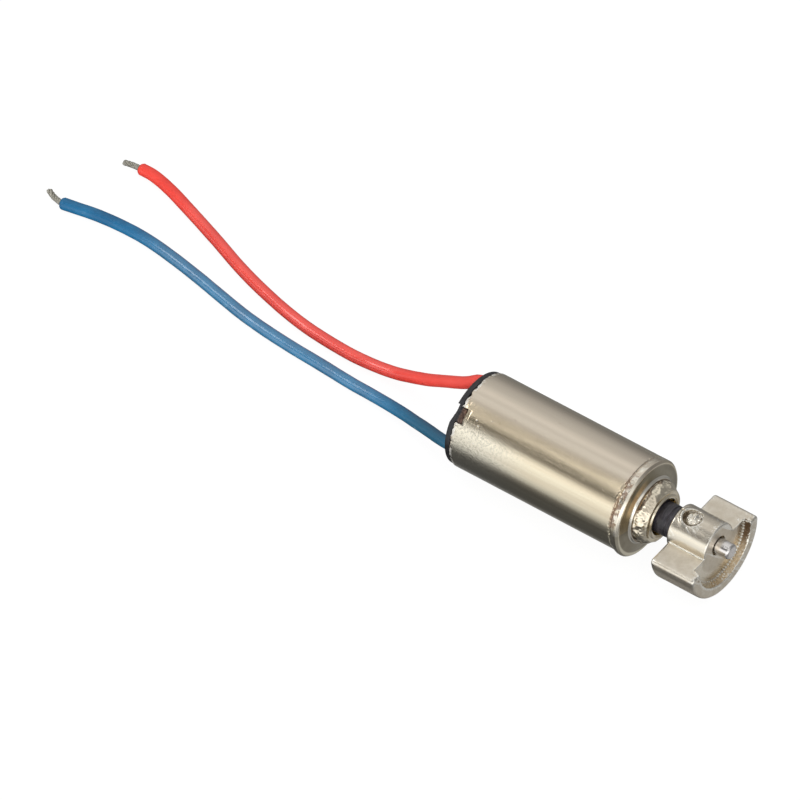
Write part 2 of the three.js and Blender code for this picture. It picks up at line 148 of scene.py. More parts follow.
class Surface(Nodes):
    """A Principled material. Its patterns are placed in the piece's own space."""

    def __init__(self, name, **values):
        self.material = bpy.data.materials.new(name)
        self.material.use_nodes = True
        super().__init__(self.material.node_tree)
        self.shader = self.tree.nodes["Principled BSDF"]
        for socket, value in values.items():
            self.set(socket.replace("_", " "), value)
        self.place = self.add("ShaderNodeTexCoord", {}, "Object")

    def set(self, socket, value):
        self.wire(value, self.shader.inputs[socket])

    def texture(self, kind, size, stretch, output, **inputs):
        """A texture of features about size millimetres wide. stretch multiplies each coordinate first."""
        place = self.place
        if stretch:
            place = self.add("ShaderNodeMapping", {"Vector": place, "Scale": stretch})
        return self.add(kind, {"Vector": place, "Scale": 1 / (size * MM), **inputs}, output)

    def noise(self, size, detail=3.0, roughness=0.6, stretch=None, distortion=0.0):
        """Noise from 0 to 1 whose blobs are about size millimetres wide."""
        inputs = {"Detail": detail, "Roughness": roughness, "Distortion": distortion}
        return self.texture("ShaderNodeTexNoise", size, stretch, "Fac", **inputs)

    def cells(self, size, stretch=None):
        """Distance from the middle of the nearest of many scattered cells, about size millimetres wide."""
        return self.texture("ShaderNodeTexVoronoi", size, stretch, "Distance")

    def coordinate(self, axis):
        return self.add("ShaderNodeSeparateXYZ", {0: self.place}, axis)

    def along(self):
        """Distance along the shaft from the can's front face, in millimetres."""
        return (self.coordinate("X") - AXIS.x) / MM

    def radial(self):
        """(distance from the shaft's axis in millimetres, angle from +Y towards +Z in radians)."""
        side, up = self.coordinate("Y"), self.coordinate("Z") - AXIS.z
        return (side ** 2 + up ** 2) ** 0.5 / MM, up.math("ARCTAN2", side)

    def complete(self, color, roughness, *layers):
        """Sets the colour, the roughness and bump layers of (height from 0 to 1, depth in micrometres)."""
        self.set("Base Color", color)
        self.set("Roughness", roughness)
        below = {}
        for height, depth in layers:
            bump = self.add("ShaderNodeBump", {"Height": height, "Distance": depth * 1e-6, **below})
            below = {"Normal": bump}
        self.set("Normal", bump)
        return self

    def dress(self, *pieces):
        for piece in pieces:
            piece.data.materials.clear()
            piece.data.materials.append(self.material)


# ---- Camera, light and floor ----

VIEW_AZIMUTH = math.radians(36.64)
VIEW_ELEVATION = math.radians(45.0)
VIEW_DISTANCE = 1.5
VIEW_WIDTH = 0.0459
VIEW_CENTRE = Vector((-0.00996, -0.00618, 0.00910))


def make_camera():
    data = bpy.data.cameras.new("camera")
    data.lens = data.sensor_width * VIEW_DISTANCE / VIEW_WIDTH
    data.clip_start = 0.05
    data.clip_end = 20
    camera = bpy.data.objects.new("camera", data)
    bpy.context.scene.collection.objects.link(camera)
    back = Vector((
        math.sin(VIEW_AZIMUTH) * math.cos(VIEW_ELEVATION),
        -math.cos(VIEW_AZIMUTH) * math.cos(VIEW_ELEVATION),
        math.sin(VIEW_ELEVATION),
    ))
    camera.location = VIEW_CENTRE + back * VIEW_DISTANCE
    camera.rotation_euler = back.to_track_quat("Z", "Y").to_euler()
    bpy.context.scene.camera = camera


# Brightness of the studio round the shaft's direction: (angle from +Y towards +Z in degrees, level).
# One list is for light that comes from behind the motor or beside it, the other for light from ahead.
BESIDE = [
    (-180, 0.92), (-165, 0.92), (-154, 0.6), (-144, 0.2), (-132, 0.08), (-90, 0.07), (-72, 0.2),
    (-60, 0.34), (-45, 0.22), (-9, 0.21), (3, 0.28), (27, 0.49), (45, 0.56), (54, 0.68), (63, 0.85),
    (71, 0.7), (79, 0.72), (87, 0.8), (95, 0.67), (102, 0.48), (108, 0.33), (114, 0.36), (121, 0.58),
    (126, 0.4), (131, 0.13), (137, 0.13), (144, 0.14), (150, 0.36), (156, 0.95), (163, 1.34),
    (171, 1.1),
]
AHEAD = [
    (-180, 1.25), (-166, 0.9), (-150, 0.4), (-135, 0.24), (-90, 0.3), (-51, 0.46), (-10, 0.24),
    (35, 0.2), (80, 0.35), (100, 0.75), (120, 0.8), (131, 0.5), (142, 0.7), (155, 1.4), (170, 1.48),
]
AHEAD_FROM = -0.1  # the X of a direction where light from ahead begins, and where it is all there is
AHEAD_FULL = 0.4
DIFFUSE_GAIN = 1.9
BRIGHTEST = 1.5
LAMP_X = -0.59  # how far the lamp's direction points back along X, and how far it spreads from there
LAMP_SPREAD = 0.08
LAMP_ANGLE = math.radians(121)
LAMP_HALF = math.radians(22)
LAMP_LEVEL = 4.5


def make_studio():
    """Soft light from all round: panels that run along the shaft, with dark gaps between them."""
    world = bpy.data.worlds.new("studio")
    bpy.context.scene.world = world
    world.use_nodes = True
    world.node_tree.nodes.clear()
    studio = Nodes(world.node_tree)

    def panels(levels, place):
        ramp = studio.add("ShaderNodeValToRGB", {0: place})
        stops = ramp.socket.node.color_ramp.elements
        for index, (degrees, level) in enumerate(levels):
            position = (degrees + 180) / 360
            stop = stops[index] if index < 2 else stops.new(position)
            stop.position = position
            stop.color = (level / BRIGHTEST,) * 3 + (1,)
        return ramp

    def within(value, middle, half, level):
        return (value - middle).math("ABSOLUTE").span(half, half * 0.5, 0, level)

    def ray(kind):
        return studio.add("ShaderNodeLightPath", {}, f"Is {kind} Ray")

    direction = studio.add("ShaderNodeTexCoord", {}, "Generated")
    x, y, z = (studio.add("ShaderNodeSeparateXYZ", {0: direction}, axis) for axis in "XYZ")
    angle = z.math("ARCTAN2", y)
    turn = angle.span(-math.pi, math.pi, kind="LINEAR")
    level = x.span(AHEAD_FROM, AHEAD_FULL).mix(panels(BESIDE, turn), panels(AHEAD, turn))
    gain = ray("Diffuse").span(0, 1, BRIGHTEST, BRIGHTEST * DIFFUSE_GAIN, "LINEAR")
    light = studio.add("ShaderNodeBackground", {"Color": level, "Strength": gain})
    # A lamp behind and above the motor, which shows only as a gleam on what is glossy.
    lamp = within(x, LAMP_X, LAMP_SPREAD, 1) * within(angle, LAMP_ANGLE, LAMP_HALF, LAMP_LEVEL)
    lamp *= ray("Glossy")
    gleam = studio.add("ShaderNodeBackground", {"Color": (1, 1, 1), "Strength": lamp})
    both = studio.add("ShaderNodeAddShader", {0: light, 1: gleam})
    backdrop = studio.add("ShaderNodeBackground", {"Color": (1, 1, 1)})
    seen = studio.add("ShaderNodeMixShader", {0: ray("Camera"), 1: both, 2: backdrop})
    studio.wire(seen, studio.tree.nodes.new("ShaderNodeOutputWorld").inputs[0])


FLOOR_GLOW = 0.93
FLOOR_TINT = 0.12


def make_floor():
    mesh = bpy.data.meshes.new("floor")
    half = 0.6
    corners = [(-half, -half, 0), (half, -half, 0), (half, half, 0), (-half, half, 0)]
    mesh.from_pydata(corners, [], [(0, 1, 2, 3)])
    floor = bpy.data.objects.new("floor", mesh)
    bpy.context.scene.collection.objects.link(floor)
    paper = Surface(
        "floor_paper", Base_Color=(FLOOR_TINT,) * 3, Roughness=1, Specular_IOR_Level=0,
        Emission_Color=(1, 1, 1), Emission_Strength=FLOOR_GLOW,
    )
    paper.dress(floor)
    floor.visible_glossy = False
    floor.visible_diffuse = False


bpy.context.scene.view_settings.view_transform = "Standard"
make_camera()
make_studio()
make_floor()


# ---- Mesh building ----

def finished(builder, name):
    """The mesh that a bmesh has built, with its faces looking outwards."""
    bmesh.ops.recalc_face_normals(builder, faces=builder.faces)
    mesh = bpy.data.meshes.new(name)
    builder.to_mesh(mesh)
    builder.free()
    return mesh


def new_piece(name, mesh, body, slot, *nodes):
    """Makes a mesh in motor space into a piece that rides on a body and stands for CAD nodes."""
    mesh.transform(TO_FRAME)
    for face in mesh.polygons:
        face.use_smooth = True
    piece = bpy.data.objects.new(name, mesh)
    bpy.context.scene.collection.objects.link(piece)
    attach(piece, body)
    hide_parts(*nodes)
    return piece


def rounded(corners, steps=6):
    """A polyline through (x, y, radius) corners, with an arc of that radius at each."""
    points = []
    count = len(corners)
    for index, (x, y, bend) in enumerate(corners):
        here = Vector((x, y))
        if bend == 0 or index in (0, count - 1):
            points.append(here)
            continue
        before = Vector(corners[index - 1][:2]) - here
        after = Vector(corners[index + 1][:2]) - here
        half = before.angle(after) / 2
        reach = min(bend / math.tan(half), before.length * 0.49, after.length * 0.49)
        bend = reach * math.tan(half)
        start = here + before.normalized() * reach
        end = here + after.normalized() * reach
        centre = here + (before.normalized() + after.normalized()).normalized() * (bend / math.sin(half))
        first, last = start - centre, end - centre
        sweep = first.angle_signed(last)
        for step in range(steps + 1):
            points.append(centre + Matrix.Rotation(-sweep * step / steps, 2) @ first)
    return points


def resampled(points, step):
    """The same polyline with no piece of it longer than step."""
    out = [points[0]]
    for a, b in zip(points, points[1:]):
        pieces = max(1, math.ceil((b - a).length / step))
        for part in range(1, pieces + 1):
            out.append(a.lerp(b, part / pieces))
    return out


def turned(name, points, sides, closed=True):
    """A profile of (along, radius) turned about the shaft's axis. Points on the axis become poles."""
    builder = bmesh.new()
    rings = []
    for along, reach in map(Vector, points):
        count = sides if reach > 0 else 1
        angles = [2 * math.pi * side / count for side in range(count)]
        rings.append([builder.verts.new((along, reach * math.cos(a), reach * math.sin(a))) for a in angles])
    pairs = list(zip(rings, rings[1:]))
    if closed:
        pairs.append((rings[-1], rings[0]))
    for first, second in pairs:
        for side in range(sides):
            places = (first, side), (second, side), (second, side + 1), (first, side + 1)
            corners = [ring[index % len(ring)] for ring, index in places]
            builder.faces.new(list(dict.fromkeys(corners)))
    return finished(builder, name)


def block(name, low, high):
    """A box between two corners, in motor space."""
    builder = bmesh.new()
    bmesh.ops.create_cube(builder, size=1)
    low, high = Vector(low), Vector(high)
    for corner in builder.verts:
        corner.co = Vector((low[i] + (corner.co[i] + 0.5) * (high[i] - low[i]) for i in range(3)))
    return finished(builder, name)


def prism(name, outline, rear, front):
    """An outline of (y, z) points given thickness along X."""
    builder = bmesh.new()
    rings = [[builder.verts.new((x, y, z)) for y, z in outline] for x in (rear, front)]
    count = len(outline)
    for index in range(count):
        following = (index + 1) % count
        builder.faces.new((rings[0][index], rings[0][following], rings[1][following], rings[1][index]))
    for ring in rings:
        builder.faces.new(ring)
    return finished(builder, name)


def modified(mesh, kind, **settings):
    """The mesh after a modifier."""
    holder = bpy.data.objects.new("holder", mesh)
    bpy.context.scene.collection.objects.link(holder)
    modifier = holder.modifiers.new(kind.lower(), kind)
    for name, value in settings.items():
        setattr(modifier, name, value)
    bpy.context.view_layer.update()
    result = bpy.data.meshes.new_from_object(holder.evaluated_get(bpy.context.evaluated_depsgraph_get()))
    bpy.data.objects.remove(holder)
    return result


def edged(mesh, width, segments=3):
    """The mesh with its sharp edges rounded."""
    return modified(
        mesh, "BEVEL", width=width, segments=segments, limit_method="ANGLE", angle_limit=math.radians(50),
        use_clamp_overlap=True,
    )


def combined(mesh, *steps):
    """The mesh after boolean steps, each (operation, other mesh)."""
    for operation, other in steps:
        tool = bpy.data.objects.new("tool", other)
        bpy.context.scene.collection.objects.link(tool)
        mesh = modified(mesh, "BOOLEAN", operation=operation, object=tool, solver="EXACT")
        bpy.data.objects.remove(tool)
    return mesh


def turned_to(mesh, degrees):
    """The mesh, turned about the shaft's axis."""
    mesh.transform(Matrix.Rotation(math.radians(degrees), 4, "X"))
    return mesh


def shaped(mesh, change):
    """Moves each vertex to change(position), a function in motor space."""
    for vertex in mesh.vertices:
        vertex.co = change(vertex.co.copy())
    return mesh


def ripple(place, size, seed=0.0):
    """Smooth noise from about -1 to 1 whose blobs are size millimetres wide."""
    return noise.noise(place / size + Vector((seed, seed * 1.7, -seed)))


# ---- Leads ----

LEAD_DIAMETER = 0.75 * MM
CORE_DIAMETER = 0.34 * MM
LEAD_SIDES = 24
LEAD_STEP = 0.12 * MM
STRAND_COUNT = 7
STRAND_TURNS = 1.1

RED_ROUTE = [
    (-9.3, 1.5, 4.64), (-9.69, 1.5, 4.59), (-10.05, 1.5, 4.44), (-10.3, 1.51, 4.25),
    (-10.7, 1.53, 3.91), (-11.15, 1.57, 3.58), (-11.75, 1.63, 3.21), (-12.4, 1.71, 2.82),
    (-13.05, 1.84, 2.38), (-14.05, 2.02, 1.73), (-14.83, 2.11, 1.33), (-15.59, 2.16, 1.0),
    (-16.38, 2.16, 0.75), (-17.3, 2.13, 0.58), (-18.28, 2.1, 0.475), (-19.58, 2.09, 0.41),
    (-21.54, 2.2, 0.385), (-23.53, 2.44, 0.385), (-26.23, 3.07, 0.385), (-28.95, 3.94, 0.385),
    (-31.68, 5.03, 0.385), (-34.41, 6.07, 0.385), (-36.44, 6.78, 0.385), (-37.76, 7.09, 0.385),
    (-38.72, 7.11, 0.385),
]
BLUE_ROUTE = [
    (-9.5, -1.5, 1.76), (-10.2, -1.38, 1.64), (-10.97, -1.13, 1.4), (-11.76, -0.86, 1.18),
    (-12.53, -0.63, 1.0), (-13.29, -0.43, 0.84), (-14.0, -0.25, 0.72), (-15.4, -0.02, 0.56),
    (-16.76, 0.12, 0.46), (-18.33, 0.22, 0.4), (-20.7, 0.41, 0.385), (-22.66, 0.53, 0.385),
    (-24.64, 0.72, 0.385), (-26.64, 1.01, 0.385), (-28.64, 1.45, 0.385), (-30.67, 1.91, 0.385),
    (-32.69, 2.31, 0.385), (-34.7, 2.6, 0.385), (-36.65, 2.65, 0.385), (-38.54, 2.48, 0.385),
    (-39.74, 2.25, 0.385), (-40.69, 2.07, 0.385),
]
RED_TAIL = [(-38.75, 7.11, 0.385), (-39.32, 7.05, 0.39), (-39.83, 6.9, 0.42)]
BLUE_TAIL = [(-40.72, 2.07, 0.385), (-41.33, 2.21, 0.39), (-41.93, 2.48, 0.42)]


def smooth_line(points, step):
    """Points about step apart on a smooth curve through the given ones (centripetal Catmull-Rom)."""
    knots = [Vector(p) for p in points]
    knots = [knots[0] * 2 - knots[1], *knots, knots[-1] * 2 - knots[-2]]
    line = []

    def between(p, q, first, last):
        return p.lerp(q, (now - times[first]) / (times[last] - times[first]))

    for a, b, c, d in zip(knots, knots[1:], knots[2:], knots[3:]):
        times = [0.0]
        for first, second in ((a, b), (b, c), (c, d)):
            times.append(times[-1] + max((second - first).length, 1e-9) ** 0.5)
        pieces = max(2, round((c - b).length / step))
        for part in range(pieces):
            now = times[1] + (times[2] - times[1]) * part / pieces
            ab, bc, cd = between(a, b, 0, 1), between(b, c, 1, 2), between(c, d, 2, 3)
            line.append(between(between(ab, bc, 0, 2), between(bc, cd, 1, 3), 1, 2))
    line.append(knots[-2])
    return line


def frames_along(line):
    """(point, side, up) at each point of a line, turning as little as possible between them."""
    side = None
    for index, point in enumerate(line):
        ahead = line[min(index + 1, len(line) - 1)] - line[max(index - 1, 0)]
        ahead.normalize()
        if side is None:
            side = ahead.cross(Vector((0, 0, 1))).normalized()
        side = (side - ahead * side.dot(ahead)).normalized()
        yield point, side, ahead.cross(side)


def sweep(builder, line, reach_at, sides):
    """Adds a round tube along the line. reach_at(share, angle) is its radius."""
    rings = []
    last = len(line) - 1
    for index, (point, side, up) in enumerate(frames_along(line)):
        ring = []
        for step in range(sides):
            angle = 2 * math.pi * step / sides
            reach = reach_at(index / last, angle)
            ring.append(builder.verts.new(point + (side * math.cos(angle) + up * math.sin(angle)) * reach))
        rings.append(ring)
    for first, second in zip(rings, rings[1:]):
        for step in range(sides):
            following = (step + 1) % sides
            builder.faces.new((first[step], first[following], second[following], second[step]))
    builder.faces.new(rings[0])
    builder.faces.new(rings[-1])


def in_metres(points):
    return [Vector(p) * MM for p in points]


def frame_piece(name, builder, body, slot, *nodes):
    """Makes a mesh that is already in the frame, in metres, into a piece."""
    mesh = finished(builder, name)
    mesh.transform(TO_FRAME.inverted())
    return new_piece(name, mesh, body, slot, *nodes)


def make_tail(color, route):
    """The bare end of a lead: tinned strands, twisted together."""
    line = smooth_line(in_metres(route), 0.05 * MM)
    strand = CORE_DIAMETER / 6
    builder = bmesh.new()

    def reach_at(share, angle):
        return strand * min(1.0, 0.55 + 6 * (1 - share)) * 1.25

    sweep(builder, line, reach_at, 10)
    for index in range(STRAND_COUNT - 1):
        start = 2 * math.pi * index / (STRAND_COUNT - 1)
        shorter = line[:len(line) - index % 3]
        wound = [
            point + (side * math.cos(turn) + up * math.sin(turn)) * 2 * strand
            for (point, side, up), turn in zip(
                frames_along(shorter),
                (start + 2 * math.pi * STRAND_TURNS * i / len(shorter) for i in range(len(shorter))),
            )
        ]
        sweep(builder, wound, reach_at, 10)
    return frame_piece(f"{color}_strands", builder, "stator", "tinned_wire", f"lead_{color}_tinned_end")


def make_lead(color, route, seed):
    """An insulated lead: a soft tube, a little uneven, with rounded cut ends."""
    cap_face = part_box("end_cap")[0].x
    inside = Vector((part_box(f"lead_{color}")[1].x, route[0][1] * MM, route[0][2] * MM))
    exit_point = Vector((cap_face, inside.y, inside.z))
    line = smooth_line([inside, exit_point, *in_metres(route)], LEAD_STEP)
    total = sum((b - a).length for a, b in zip(line, line[1:]))
    radius = LEAD_DIAMETER / 2
    builder = bmesh.new()

    def reach_at(share, angle):
        left = (1 - share) * total
        edge = min(1.0, left / (0.09 * MM))
        gone = share * total
        side, up = math.cos(angle), math.sin(angle)
        uneven = 0.018 * noise.noise(Vector((gone / (1.4 * MM), side, seed + up)))
        dented = 0.012 * noise.noise(Vector((gone / (0.5 * MM), 2 * side, 2 * up - seed)))
        return radius * (0.8 + 0.2 * math.sqrt(1 - (1 - edge) ** 2)) * (1 + uneven + dented)

    sweep(builder, line, reach_at, LEAD_SIDES)
    lead = frame_piece(f"{color}_lead", builder, "stator", f"{color}_pvc", f"lead_{color}")
    return lead


GLOSS_AND_HIGHLIGHT_MIDDLE = -28.5
CAP_END = (-21.0, -15.0)  # over this stretch a lead turns to the colour that it has near the cap


def pvc(name, color, dark, pale, near_cap, scuff_and_highlight_strength):
    surface = Surface(name)
    along = surface.along()
    blotch = surface.noise(1.6)
    fine = surface.noise(0.22)
    scuffs = surface.noise(0.34, 4, 0.65, stretch=(0.35, 1, 1)).span(0.6, 0.74)
    tone = blotch.span(0.3, 0.7).mix(dark, color)
    tone = along.span(*CAP_END).mix(tone, near_cap)
    tone = (scuffs * scuff_and_highlight_strength).mix(tone, pale)
    # The middle of each lead is glossier, and its colour is painted a little lighter there as a highlight.
    gloss_and_painted_highlight = along.near(GLOSS_AND_HIGHLIGHT_MIDDLE, 7, 4)
    tone = (gloss_and_painted_highlight * (scuff_and_highlight_strength * 0.35)).mix(tone, pale)
    surface.set("Specular IOR Level", gloss_and_painted_highlight.blend(0.4, 1.0))
    rough = gloss_and_painted_highlight.blend(fine.span(0.3, 0.75, 0.34, 0.5), 0.2)
    return surface.complete(tone, rough, (blotch, 14), (fine, 4))


RED_PVC = pvc(
    "red_pvc", (0.88, 0.058, 0.038), (0.8, 0.04, 0.026), (1.0, 0.34, 0.26), (0.82, 0.068, 0.048), 0.12,
)
BLUE_PVC = pvc(
    "blue_pvc", (0.010, 0.16, 0.34), (0.006, 0.11, 0.25), (0.26, 0.5, 0.66), (0.012, 0.1, 0.18), 0.3,
)


def tinned_wire():
    surface = Surface("tinned_wire", Metallic=1.0)
    dull = surface.noise(0.18, 4, 0.6)
    color = dull.span(0.35, 0.65).mix((0.42, 0.4, 0.34), (0.6, 0.58, 0.51))
    return surface.complete(color, dull.span(0.3, 0.7, 0.62, 0.48), (surface.noise(0.05), 2))


TINNED = tinned_wire()
for color, route, tail_route, surface, seed in (
    ("red", RED_ROUTE, RED_TAIL, RED_PVC, 3.1),
    ("blue", BLUE_ROUTE, BLUE_TAIL, BLUE_PVC, 8.4),
):
    strands = make_tail(color, tail_route)
    TINNED.dress(strands)
    surface.dress(make_lead(color, route, seed))

# ---- Can ----

CAN_SIDES = 384
CAN_REAR, NECK_TOP = span("can")
CAN_RADIUS = radius("can")
CAN_WALL = 0.3
CAN_BORE = CAN_RADIUS - CAN_WALL
CREASE = -0.70
NECK_RADIUS = 1.84
HOLE_RADIUS = 1.17
SLEEVE_BORE = 1.4
NOTCH_CLOCK = 134.0
NOTCH_WIDTH = 1.02
NOTCH_FRONT = CAN_REAR + 0.45
RIM_ZONE = 0.45
FACE_EDGE = CAN_RADIUS - 0.14
# Where marks, painted highlights and painted reflections lie round the can, as angles from +Y towards +Z.
TAN_REFLECTION_CLOCK = math.radians(127)
FILLET_HIGHLIGHT_CLOCK = math.radians(124)
TORN_CLOCK = math.radians(138)
SCRATCH_CLOCK = math.radians(140)
CORNER_HIGHLIGHT_CLOCK = math.radians(155)
BROWN_CLOCK = math.radians(170)


def can_profile():
    """The drawn can in section: out of the rear rim, over the shoulder, up the neck and back inside."""
    rim_end = (CAN_REAR + RIM_ZONE, CAN_RADIUS, 0)
    side_end = (CREASE - 0.2, CAN_RADIUS, 0)
    lip_end = (NECK_TOP - 0.24, HOLE_RADIUS, 0)
    rear = [(CAN_REAR, CAN_BORE, 0), (CAN_REAR, CAN_RADIUS, 0.05), rim_end]
    front = [
        side_end,
        (CREASE - 0.05, CAN_RADIUS + 0.003, 0.05),
        (CREASE + 0.01, CAN_RADIUS - 0.05, 0.03),
        (CREASE + 0.09, CAN_RADIUS + 0.01, 0.08),
        (-0.26, CAN_RADIUS + 0.005, 0.09),
        (-0.12, CAN_RADIUS - 0.11, 0.07),
        (-0.11, CAN_RADIUS - 0.24, 0.06),
        (-0.04, NECK_RADIUS + 0.66, 0.2),
        (0.03, NECK_RADIUS + 0.3, 0.3),
        (0.17, NECK_RADIUS + 0.2, 0.04),
        (0.19, NECK_RADIUS + 0.12, 0.04),
        (0.66, NECK_RADIUS - 0.03, 0.2),
        (NECK_TOP - 0.13, NECK_RADIUS - 0.2, 0.07),
        (NECK_TOP - 0.09, NECK_RADIUS - 0.3, 0.04),
        (NECK_TOP - 0.11, NECK_RADIUS - 0.4, 0.04),
        (NECK_TOP, NECK_RADIUS - 0.5, 0.06),
        (NECK_TOP - 0.04, HOLE_RADIUS, 0.05),
        lip_end,
    ]
    inside = [
        lip_end,
        (NECK_TOP - 0.24, SLEEVE_BORE, 0.03),
        (-CAN_WALL, SLEEVE_BORE, 0.03),
        (-CAN_WALL, CAN_BORE, 0.1),
        (CAN_REAR, CAN_BORE, 0),
    ]
    points = []
    for stretch, step in ((rear, 0.03), ([rim_end, side_end], 0.3), (front, 0.045), (inside, 0.4)):
        points += resampled(rounded(stretch), step)[:-1]
    return points


CREASE_CLOCK = math.radians(120)
FLARE_CLOCK = math.radians(232)
FLARE = 0.13
RIM_CHIPS = ((97, 0.13), (109, 0.16), (121, 0.08), (150, 0.07), (167, 0.12))


def rim_damage(place, clock, outward):
    """Nicks and chips along the can's rear edge."""
    share = 1 - (place.x - CAN_REAR) / RIM_ZONE
    around = Vector((place.y, place.z, 0))
    nick = max(0.0, ripple(around, 0.19, 4) - 0.05) * (0.1 + 0.1 * ripple(around, 0.9, 8))
    for middle, size in RIM_CHIPS:
        off = CAN_RADIUS * math.radians((math.degrees(clock) - middle + 180) % 360 - 180)
        nick += size * math.exp(-(off / size) ** 2) * (0.7 + 0.6 * ripple(around, 0.07, 9))
    place.x += nick * share ** 3
    if math.hypot(place.y, place.z) > CAN_BORE + 0.1:
        place -= outward * 0.03 * abs(ripple(place, 0.2, 2)) * share


def worn_can(place):
    """Drawing marks on the neck, a nicked crease, a flared shoulder and a ragged rear rim."""
    reach = math.hypot(place.y, place.z)
    clock = math.atan2(place.z, place.y)
    outward = Vector((0, place.y, place.z)) / max(reach, 1e-6)
    outside = reach > CAN_BORE + 0.1
    if place.x < CAN_REAR + RIM_ZONE:
        rim_damage(place, clock, outward)
    if outside and place.x > CREASE - 0.15:
        near = math.exp(-((place.x - CREASE) / 0.1) ** 2)
        torn = 0.4 + 0.6 * math.cos(clock - CREASE_CLOCK)
        nicks = 0.1 * max(0.0, ripple(place, 0.13, 6)) + 0.03 * ripple(place, 0.3, 2)
        place -= outward * near * torn * nicks
        turn = (clock - FLARE_CLOCK + math.pi) % (2 * math.pi) - math.pi
        rise = min(1.0, max(0.0, (place.x - CREASE) / 0.25)) * min(1.0, max(0.0, -place.x / 0.1))
        place += outward * FLARE * rise * math.exp(-(turn / 0.62) ** 2)
    if place.x > 0.14 and SLEEVE_BORE < reach < NECK_RADIUS + 0.3:
        dent = noise.voronoi(place / 0.6 + Vector((0.3, 0, 0)))[0][0] - 0.35
        strength = min(1.0, (place.x - 0.14) / 0.15)
        strength *= min(1.0, max(0.0, (NECK_TOP - 0.12 - place.x) / 0.15))
        place += outward * strength * (0.2 * dent + 0.03 * ripple(place, 0.16, 5))
    if outside:
        place += outward * 0.003 * ripple(place, 1.8, 3)
    return place


def ragged_cutter(name, low, high, cuts, depth):
    """A box whose faces wander by up to depth, for an edge that was broken rather than cut."""
    builder = bmesh.new()
    builder.from_mesh(block(name, low, high))
    bmesh.ops.subdivide_edges(builder, edges=builder.edges, cuts=cuts, use_grid_fill=True)
    for corner in builder.verts:
        corner.co += Vector((ripple(corner.co, 0.16, 1), ripple(corner.co, 0.16, 5), 0)) * depth
    return finished(builder, name)


def make_can():
    mesh = turned("can_shell", can_profile(), CAN_SIDES)
    half = NOTCH_WIDTH / 2
    cutter = ragged_cutter(
        "can_notch", (CAN_REAR - 0.6, -half, 2.3), (NOTCH_FRONT, half, 3.6), 14, 0.05,
    )
    mesh = combined(mesh, ("DIFFERENCE", turned_to(cutter, NOTCH_CLOCK - 90)))
    shaped(mesh, worn_can)
    return new_piece("can_shell", mesh, "stator", "nickel_can", "can")


def plating_with_painted_reflections(clock, streaks):
    """Nickel, with reflections painted into its colour: rosy towards the top, a tan band on the near side,
    a little green low down.
    """
    height = clock.math("SINE")
    base = streaks.span(0.3, 0.7).mix((0.74, 0.64, 0.47), (0.87, 0.79, 0.60))
    base = (height.span(0.6, 1.0) * 0.6).mix(base, (0.82, 0.72, 0.62))
    base = (clock.near(TAN_REFLECTION_CLOCK, 0.12, 0.2) * 0.6).mix(base, (0.86, 0.71, 0.48))
    return (height.span(0.5, -0.3) * 0.45).mix(base, (0.80, 0.78, 0.66))


def front_metal(surface, base, along, reach, clock):
    """A flat face painted dark as shade, a golden highlight painted on the fillet round the neck, a
    highlight painted on the corner, and a worn band behind it.
    """
    face = along.span(-0.16, -0.12) * reach.span(FACE_EDGE, FACE_EDGE - 0.08)
    # The flat face is painted dark as shade, browner at one side.
    dull = surface.noise(1.5, 3, 0.55).span(0.35, 0.7).mix((0.34, 0.30, 0.22), (0.46, 0.42, 0.33))
    dull = clock.near(BROWN_CLOCK, 0.5, 0.4).mix(dull, (0.52, 0.44, 0.30))
    base = face.mix(base, dull)
    # A golden highlight painted on the fillet round the neck, on one side only.
    fillet_highlight = reach.near(NECK_RADIUS + 0.46, 0.14, 0.16) * face * clock.near(FILLET_HIGHLIGHT_CLOCK, 0.2, 0.4)
    base = fillet_highlight.mix(base, (1.0, 0.78, 0.5))
    # A highlight painted on the face's outer corner, on the near side.
    corner = along.near(-0.2, 0.08, 0.05) * reach.span(FACE_EDGE - 0.06, FACE_EDGE)
    base = (corner * clock.near(CORNER_HIGHLIGHT_CLOCK, 0.5, 0.8)).mix(base, (1.0, 0.93, 0.78))
    worn = along.span(CREASE, CREASE + 0.06) * along.span(-0.24, -0.3)
    rubs = surface.noise(0.5, distortion=0.6).span(0.42, 0.6)
    return (worn * rubs).mix(base, (0.98, 0.93, 0.8)), face


def neck_metal(base, along, reach):
    """A bright neck, a dark line painted as shade in the corner at its foot, and a polished riser outside
    that, painted bright as a highlight.
    """
    neck = along.span(0.1, 0.25) * reach.span(2.2, 2.1)
    base = neck.mix(base, (0.96, 0.87, 0.69))
    # Painted shade in the corner at the neck's foot.
    foot_shade = along.span(0.02, 0.08) * reach.near(NECK_RADIUS + 0.145, 0.015, 0.03)
    base = (foot_shade * 0.8).mix(base, (0.2, 0.13, 0.08))
    # A highlight painted on the riser, which is also polished.
    riser_polish_and_highlight = along.span(0.02, 0.05) * reach.near(NECK_RADIUS + 0.26, 0.05, 0.03)
    return riser_polish_and_highlight.mix(base, (1.0, 0.95, 0.84)), largest(neck, riser_polish_and_highlight), neck


def orange_peel(surface, base, along, clock):
    """Fine mottling low on the rear, where the can was gripped while it was drawn."""
    gripped = along.span(-6.0, -10.5) * clock.math("SINE").span(0.76, 0.6)
    base = (gripped * 0.4).mix(base, (0.88, 0.87, 0.79))
    peel = surface.noise(0.15, 3, 0.75).span(0.46, 0.66) * gripped
    return (peel * 0.4).mix(base, (0.52, 0.49, 0.4)), peel


